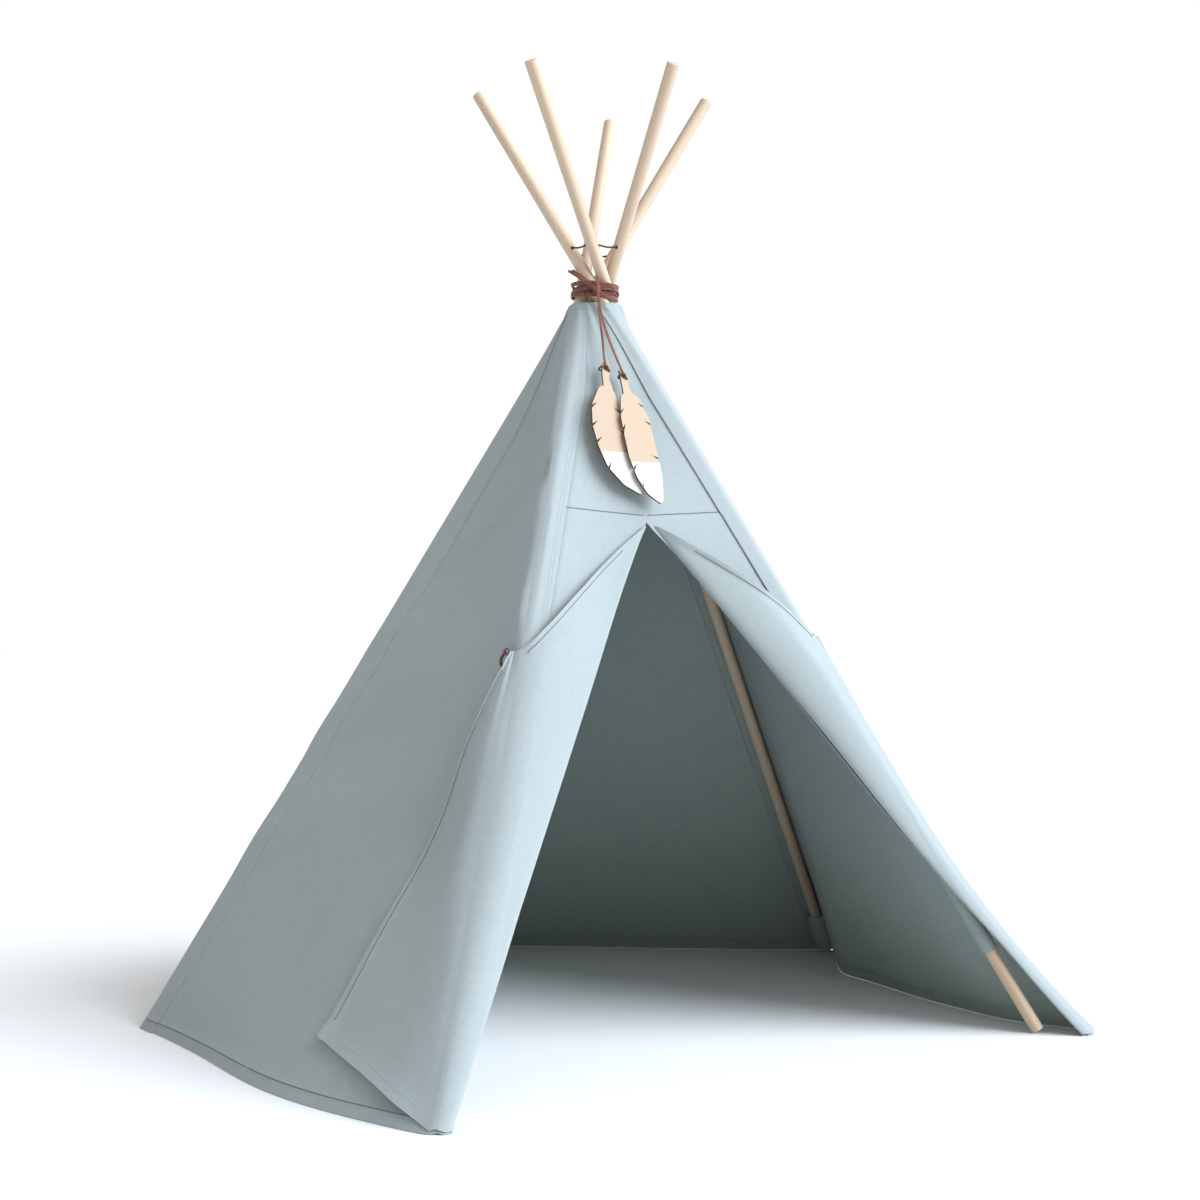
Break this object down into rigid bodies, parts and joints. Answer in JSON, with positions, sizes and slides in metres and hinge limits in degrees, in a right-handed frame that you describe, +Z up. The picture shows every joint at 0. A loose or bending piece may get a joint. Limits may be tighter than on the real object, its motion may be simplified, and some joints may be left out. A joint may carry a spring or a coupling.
{
  "type": "teepee tent",
  "caption": "Children's teepee tent: crossed wooden poles laced near the top, cotton canvas cover with door flaps folded back, and two wooden feathers on laces.",
  "frame": {"origin": "middle of the tent's footprint, on the floor", "axes": "+Z up, the door faces -Y, +X is to the right of someone who stands behind the tent and looks out of the door"},
  "size_m": [1.2168, 1.1008, 1.3647],
  "materials": {
    "pine": "sanded, clear matt",
    "canvas": "plain weave cotton canvas",
    "dark_cord": "thin round cord",
    "leather_lace": "suede lace",
    "feather_wood": "cut plywood, tips painted white"
  },
  "bodies": {
    "lashing": {"threaded_cord": "dark_cord", "lace_wrap": "leather_lace", "lace_knot": "leather_lace", "lace_bow": "leather_lace"},
    "front_left": {"pole_front_left": "pine", "sleeve_front_left": "canvas", "front_upper_panel": "canvas", "front_left_gore": "canvas", "side_left_panel": "canvas", "tie_left": "leather_lace"},
    "front_right": {"pole_front_right": "pine", "sleeve_front_right": "canvas", "front_right_gore": "canvas", "side_right_panel": "canvas", "tie_right": "leather_lace"},
    "right": {"pole_right": "pine", "pocket_right": "canvas"},
    "back": {"pole_back": "pine", "pocket_back": "canvas", "back_left_panel": "canvas", "back_right_panel": "canvas"},
    "left": {"pole_left": "pine", "pocket_left": "canvas"},
    "flap_left_inner": {"flap_left_inner": "canvas"},
    "flap_left_outer": {"flap_left_outer": "canvas"},
    "flap_right_inner": {"flap_right_inner": "canvas"},
    "flap_right_outer": {"flap_right_outer": "canvas"},
    "feather_left": {"lace_left": "leather_lace", "feather_left": "feather_wood", "feather_knot_left": "leather_lace"},
    "feather_right": {"lace_right": "leather_lace", "feather_right": "feather_wood", "feather_knot_right": "leather_lace"}
  },
  "joints": [
    {"name": "fold", "type": "hinge", "parent": "lashing", "child": "back", "pos_m": [0.02, -0.0985, 1.068], "axis": [-1, 0, 0], "range_deg": [0, 26], "deforming": ["front_upper_panel", "front_left_gore", "front_right_gore", "side_right_panel", "back_right_panel", "back_left_panel", "side_left_panel", "flap_left_inner", "flap_left_outer", "flap_right_inner", "flap_right_outer", "threaded_cord"]},
    {"name": "fold_front_left", "type": "hinge", "parent": "lashing", "child": "front_left", "pos_m": [-0.01394, -0.08416, 1.068], "axis": [0.6972, -0.7169, 0], "range_deg": [0, 26]},
    {"name": "fold_front_right", "type": "hinge", "parent": "lashing", "child": "front_right", "pos_m": [-0.01394, -0.11284, 1.068], "axis": [0.6972, 0.7169, 0], "range_deg": [0, 26]},
    {"name": "fold_right", "type": "hinge", "parent": "lashing", "child": "right", "pos_m": [0.00697, -0.11725, 1.068], "axis": [-0.3486, 0.9373, 0], "range_deg": [0, 26]},
    {"name": "fold_left", "type": "hinge", "parent": "lashing", "child": "left", "pos_m": [0.00697, -0.07975, 1.068], "axis": [-0.3486, -0.9373, 0], "range_deg": [0, 26]},
    {"name": "door_left", "type": "hinge", "parent": "front_left", "child": "flap_left_inner", "pos_m": [-0.41921, -0.52907, 0.06492], "axis": [-0.5015, -0.3319, -0.799], "range_deg": [-176, 0]},
    {"name": "door_left_unbend", "type": "hinge", "parent": "flap_left_inner", "child": "flap_left_outer", "pos_m": [-0.34173, -0.42549, 0.30865], "axis": [-0.3561, -0.3688, -0.8586], "range_deg": [-70.4, 0]},
    {"name": "door_right", "type": "hinge", "parent": "front_right", "child": "flap_right_inner", "pos_m": [0.39672, -0.50637, 0.12492], "axis": [-0.5354, 0.326, 0.7792], "range_deg": [-176, 0]},
    {"name": "door_right_unbend", "type": "hinge", "parent": "flap_right_inner", "child": "flap_right_outer", "pos_m": [0.33369, -0.43368, 0.30865], "axis": [-0.3786, 0.3457, 0.8586], "range_deg": [-70.4, 0]},
    {"name": "feather_left_swing", "type": "hinge", "parent": "front_left", "child": "feather_left", "pos_m": [-0.02, -0.13729, 1.07236], "axis": [0, -0.9238, 0.3829], "range_deg": [-8, 8]},
    {"name": "feather_right_swing", "type": "hinge", "parent": "front_left", "child": "feather_right", "pos_m": [-0.021, -0.14191, 1.07427], "axis": [0, -0.9238, 0.3829], "range_deg": [-8, 8]}
  ],
  "couplings": [
    {"joint": "fold_front_left", "follows": "fold", "ratio": 1},
    {"joint": "fold_front_right", "follows": "fold", "ratio": 1},
    {"joint": "fold_right", "follows": "fold", "ratio": 1},
    {"joint": "fold_left", "follows": "fold", "ratio": 1},
    {"joint": "door_left_unbend", "follows": "door_left", "ratio": 0.4},
    {"joint": "door_right_unbend", "follows": "door_right", "ratio": 0.4}
  ]
}
